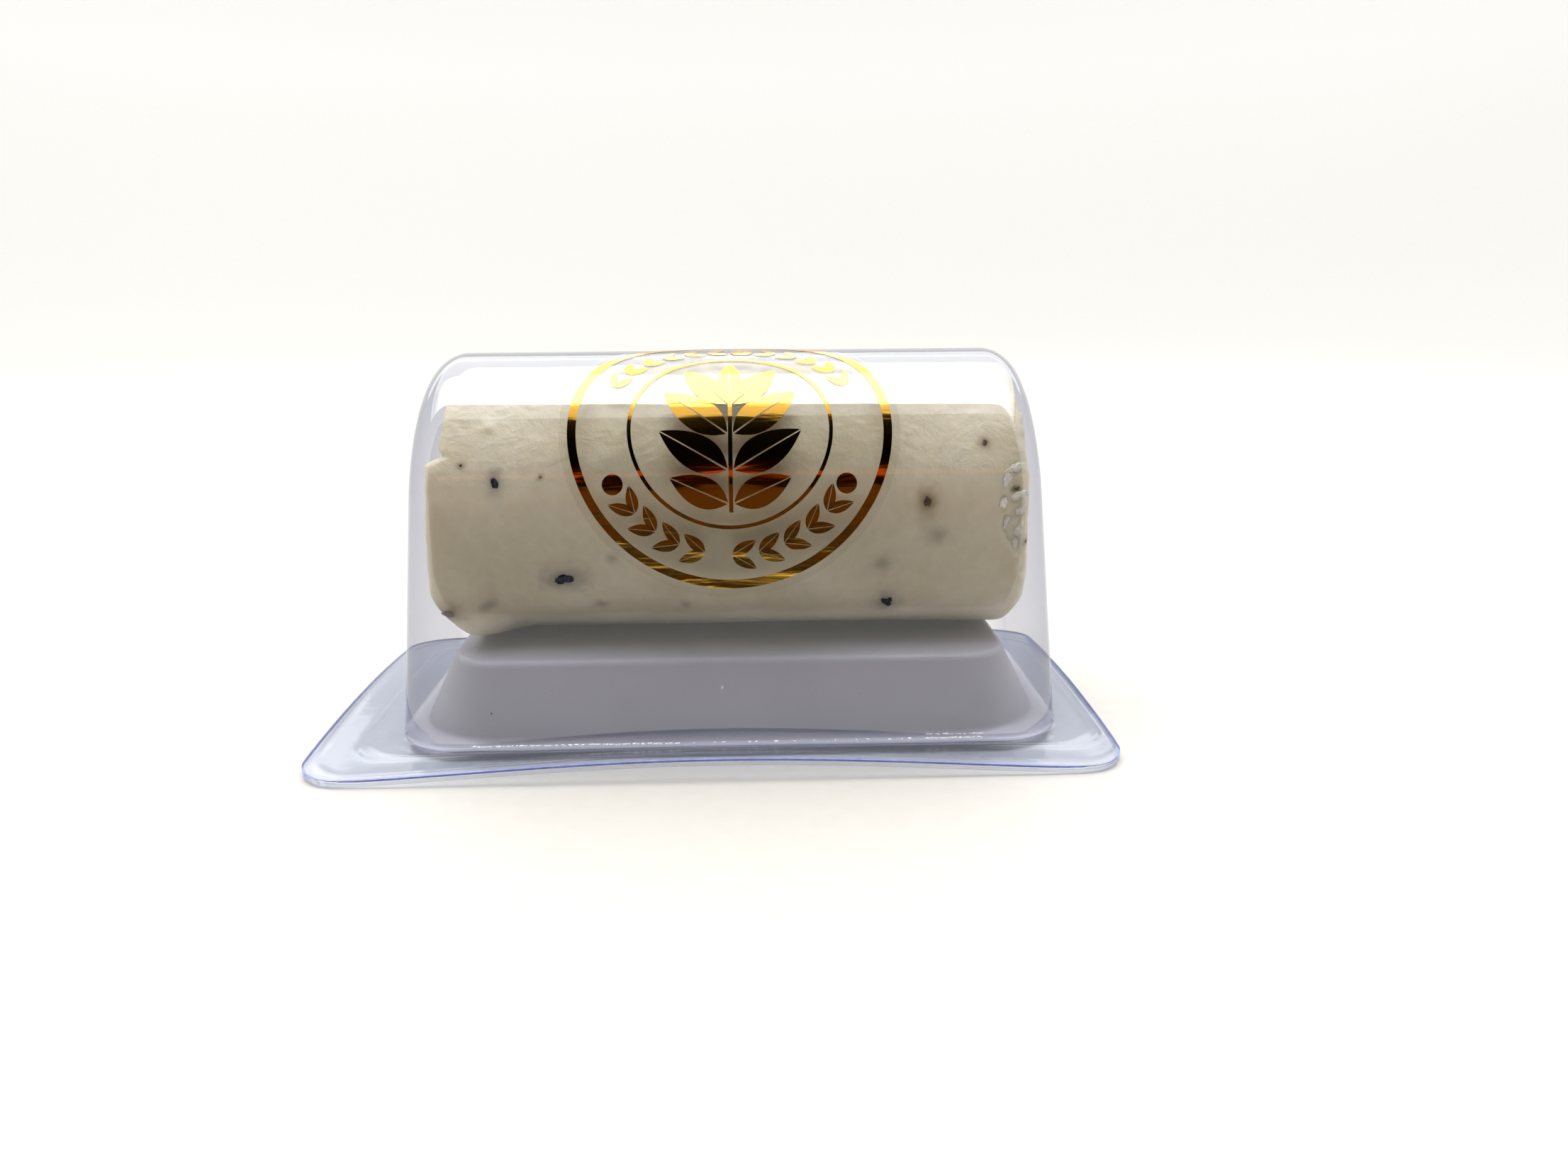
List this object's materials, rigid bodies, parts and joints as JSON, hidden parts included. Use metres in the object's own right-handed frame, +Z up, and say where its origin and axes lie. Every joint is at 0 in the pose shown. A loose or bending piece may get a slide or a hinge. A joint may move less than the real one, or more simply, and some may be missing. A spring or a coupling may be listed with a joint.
{
  "type": "packaged goat cheese log",
  "caption": "Fresh goat cheese log lying on the raised bed of a white tray, shut under a clear arched dome with a round gold foil seal on its front.",
  "frame": {"origin": "centre of the pack's footprint, on the surface it stands on", "axes": "+X along the log to the right of the labelled front, -Y towards the labelled front, +Z up"},
  "size_m": [0.1189, 0.0722, 0.0582],
  "materials": {
    "fresh_cheese": "moist, soft and slightly uneven",
    "white_tray_plastic": "satin formed sheet",
    "clear_plastic": "glossy, clear with a faint blue tint",
    "foil_print": "gold foil shapes on a clear film"
  },
  "bodies": {
    "root": {"cheese_log": "fresh_cheese", "tray": "white_tray_plastic", "clear_dome": "clear_plastic", "seal": "foil_print"}
  },
  "joints": []
}
